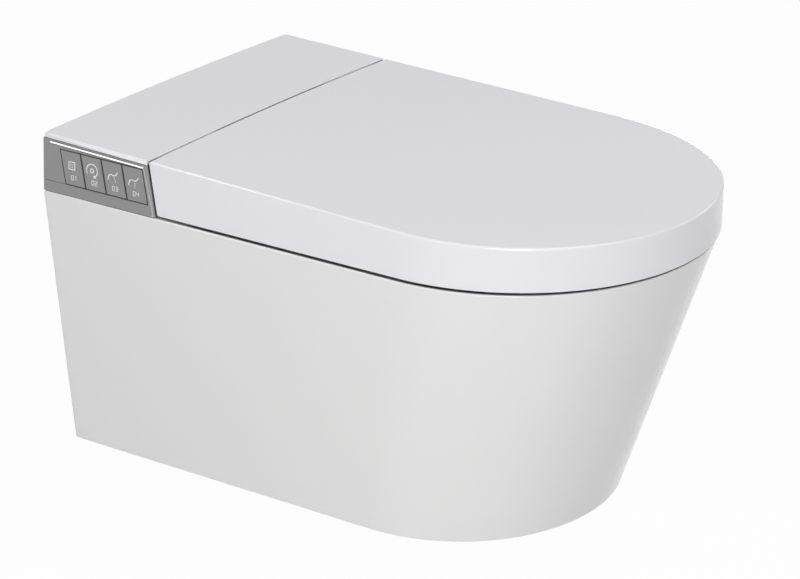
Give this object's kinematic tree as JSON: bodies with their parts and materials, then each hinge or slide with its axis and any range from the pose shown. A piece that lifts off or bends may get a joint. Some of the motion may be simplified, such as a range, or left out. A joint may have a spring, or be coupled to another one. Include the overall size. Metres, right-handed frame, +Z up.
{
  "type": "wall-hung smart toilet",
  "caption": "Wall-hung smart toilet: skirted ceramic pan, slow-close lid over a heated seat, rear housing with side keys, sliding wash wands and a warm-air dryer.",
  "frame": {"origin": "on the wall plane, midway between the two wall studs", "axes": "+X right of a user facing the wall, +Y into the wall, +Z up; the bowl's front points along -Y"},
  "size_m": [0.3854, 0.5892, 0.3264],
  "materials": {
    "glazed_ceramic": "glossy white glaze",
    "white_gloss": "glossy white",
    "white_moulding": "satin white",
    "grey_moulding": "satin grey",
    "grey_panel": "satin metallic grey",
    "light_lens": "translucent white",
    "grey_rubber": "matte",
    "black_rubber": "matte",
    "zinc_steel": "zinc plated",
    "polished_metal": "polished",
    "brass_fitting": "turned",
    "circuit_board": "lacquered",
    "heater_foil": "foil"
  },
  "bodies": {
    "root": {"ceramic_pan": "glazed_ceramic", "inlet_seal": "black_rubber", "fixing_sleeves": "zinc_steel", "fixing_screws": "zinc_steel", "unit_chassis": "white_moulding", "chassis_bolts": "zinc_steel", "bolt_plugs": "black_rubber", "top_cover": "white_gloss", "control_panel": "grey_panel", "side_panel": "grey_panel", "light_bar": "light_lens", "key_board": "circuit_board", "key_domes": "black_rubber", "hinge_bracket_left": "white_moulding", "hinge_bracket_right": "white_moulding", "hinge_pins": "zinc_steel", "seat_damper": "grey_moulding", "lid_damper": "grey_moulding", "wand_guide": "white_moulding", "wand_motors": "zinc_steel", "wand_shroud": "white_moulding", "air_duct": "grey_moulding", "blower_housing": "grey_moulding", "water_heater": "grey_moulding", "water_pump": "grey_moulding", "inlet_valve": "grey_moulding", "water_inlet": "brass_fitting", "power_supply": "grey_moulding", "control_board": "circuit_board", "cord_gland": "black_rubber"},
    "seat": {"seat_top": "white_gloss", "seat_base": "white_moulding", "seat_heater": "heater_foil", "seat_bumpers": "grey_rubber"},
    "lid": {"lid_shell": "white_gloss", "lid_liner": "white_gloss", "lid_bumpers": "grey_rubber"},
    "rear_wand": {"rear_wand": "polished_metal", "rear_wand_tip": "white_moulding"},
    "front_wand": {"front_wand": "polished_metal", "front_wand_tip": "white_moulding"},
    "rotor": {"blower_rotor": "grey_moulding"},
    "stop_key": {"stop_key": "grey_panel"},
    "flush_key": {"flush_key": "grey_panel"},
    "rear_wash_key": {"rear_wash_key": "grey_panel"},
    "front_wash_key": {"front_wash_key": "grey_panel"}
  },
  "joints": [
    {"name": "seat_hinge", "type": "hinge", "parent": "root", "child": "seat", "pos_m": [0, -0.143, 0.12323], "axis": [1, 0, 0], "range_deg": [-95, 0]},
    {"name": "lid_hinge", "type": "hinge", "parent": "seat", "child": "lid", "pos_m": [0, -0.143, 0.12323], "axis": [-1, 0, 0], "range_deg": [0, 95]},
    {"name": "rear_wand_slide", "type": "slide", "parent": "root", "child": "rear_wand", "axis": [0, -0.9613, -0.2756], "range_m": [0, 0.09]},
    {"name": "front_wand_slide", "type": "slide", "parent": "root", "child": "front_wand", "axis": [0, -0.9613, -0.2756], "range_m": [0, 0.09]},
    {"name": "rotor_spin", "type": "hinge", "parent": "root", "child": "rotor", "pos_m": [0.103, -0.052, 0.09], "axis": [0, 0, 1], "continuous": true},
    {"name": "stop_key_press", "type": "slide", "parent": "root", "child": "stop_key", "axis": [0.9992, 0, -0.0388], "range_m": [0, 0.0008], "stiffness_N_per_m": 900},
    {"name": "flush_key_press", "type": "slide", "parent": "root", "child": "flush_key", "axis": [0.9992, 0, -0.0388], "range_m": [0, 0.0008], "stiffness_N_per_m": 900},
    {"name": "rear_wash_key_press", "type": "slide", "parent": "root", "child": "rear_wash_key", "axis": [0.9992, 0, -0.0388], "range_m": [0, 0.0008], "stiffness_N_per_m": 900},
    {"name": "front_wash_key_press", "type": "slide", "parent": "root", "child": "front_wash_key", "axis": [0.9992, 0, -0.0388], "range_m": [0, 0.0008], "stiffness_N_per_m": 900}
  ]
}
